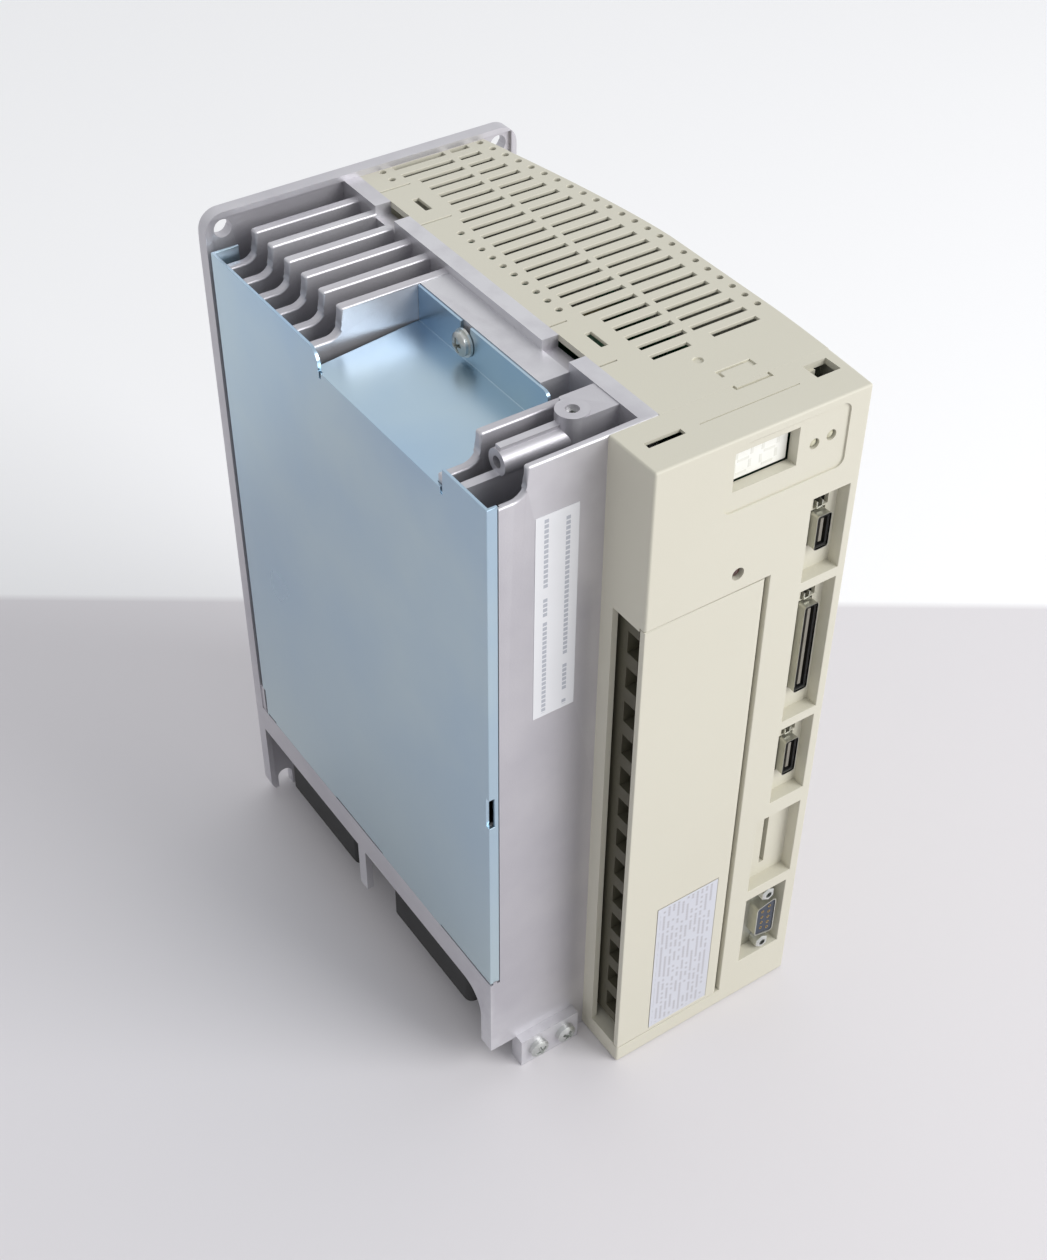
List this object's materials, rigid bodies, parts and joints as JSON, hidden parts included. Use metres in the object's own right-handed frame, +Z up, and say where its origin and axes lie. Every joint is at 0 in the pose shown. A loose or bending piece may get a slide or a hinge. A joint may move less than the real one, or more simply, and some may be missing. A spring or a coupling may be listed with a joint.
{
  "type": "servo drive",
  "caption": "Wall-mounted book-type servo drive with a die-cast heatsink, zinc duct cover, beige case, data connectors and a hinged terminal cover",
  "frame": {"origin": "centre of the overall footprint at the lowest face", "axes": "+Z up, -Y out of the wall towards the person (front), +Y into the wall, +X to the right seen from the front"},
  "size_m": [0.113, 0.18, 0.25],
  "materials": {
    "cast_aluminium": "die-cast, slightly rough",
    "zinc_sheet": "blue zinc passivated sheet",
    "plated_screw": "zinc plated",
    "resistor_housing": "anodised",
    "black_plastic": "moulded",
    "terminal_plastic": "moulded",
    "dark_plastic": "moulded",
    "board_green": "solder resist",
    "brass_part": "nickelled brass",
    "capacitor_sleeve": "shrink sleeve",
    "blue_plastic": "moulded",
    "beige_plastic": "fine eroded texture",
    "label_foil": "silver foil print",
    "label_paper": "coated paper",
    "white_plastic": "moulded",
    "lamp_green": "tinted lens",
    "lamp_red": "tinted lens",
    "plated_shell": "tin plated"
  },
  "bodies": {
    "drive": {"heatsink_casting": "cast_aluminium", "duct_cover": "zinc_sheet", "duct_cover_screw": "plated_screw", "boss_screw": "plated_screw", "braking_resistor": "resistor_housing", "resistor_screws": "plated_screw", "rear_fan_frame": "black_plastic", "front_fan_frame": "black_plastic", "fan_screws": "plated_screw", "power_module": "dark_plastic", "rectifier_module": "dark_plastic", "module_screws": "plated_screw", "power_board": "board_green", "control_board": "board_green", "board_spacers": "brass_part", "board_screws": "plated_screw", "bus_capacitors": "capacitor_sleeve", "soft_start_relay": "blue_plastic", "current_sensors": "dark_plastic", "main_case": "beige_plastic", "front_cover": "beige_plastic", "front_label": "label_paper", "terminal_block": "terminal_plastic", "terminal_screws": "plated_screw", "ground_screws": "plated_screw", "display_board": "board_green", "segment_display": "white_plastic", "status_leds": "lamp_green", "charge_lamp": "lamp_red", "command_port": "black_plastic", "io_port": "black_plastic", "feedback_port": "black_plastic", "port_shells": "plated_shell", "dsub_connector": "plated_shell", "dsub_jack_screws": "plated_screw"},
    "rear_rotor": {"rear_fan_rotor": "black_plastic"},
    "front_rotor": {"front_fan_rotor": "black_plastic"},
    "hinged_cover": {"terminal_cover": "beige_plastic", "cover_label": "label_foil"}
  },
  "joints": [
    {"name": "rear_fan_spin", "type": "hinge", "parent": "drive", "child": "rear_rotor", "pos_m": [-0.0285, 0.047, 0.025], "axis": [0, 0, 1], "continuous": true},
    {"name": "front_fan_spin", "type": "hinge", "parent": "drive", "child": "front_rotor", "pos_m": [-0.0285, -0.027, 0.025], "axis": [0, 0, 1], "continuous": true},
    {"name": "terminal_cover_hinge", "type": "hinge", "parent": "drive", "child": "hinged_cover", "pos_m": [0.0218, -0.088, 0.101], "axis": [0, 0, 1], "range_deg": [0, 100]}
  ]
}
